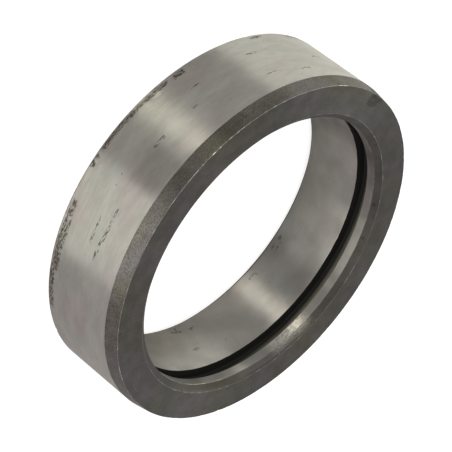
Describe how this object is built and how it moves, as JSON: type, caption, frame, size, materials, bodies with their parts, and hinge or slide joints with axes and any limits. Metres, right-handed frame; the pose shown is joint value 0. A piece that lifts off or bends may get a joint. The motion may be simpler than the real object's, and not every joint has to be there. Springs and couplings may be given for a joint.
{
  "type": "bearing ring",
  "caption": "Bare turned and ground steel bearing ring: open bore with a groove near the front end, outer running surface with a lead-in taper, chamfered edges.",
  "frame": {"origin": "centre of the rear end face, on the bore axis", "axes": "+Z along the bore axis towards the grooved front end; the ring rests on its rear face on z = 0; X and Y are any two directions across it, as it is round"},
  "size_m": [0.09, 0.09, 0.0235],
  "materials": {
    "bearing_steel": "hardened bearing steel, circumferentially ground on the outside and in the bore, dark as-turned end face, taper, chamfers and groove"
  },
  "bodies": {
    "root": {"bearing_ring": "bearing_steel"}
  },
  "joints": []
}
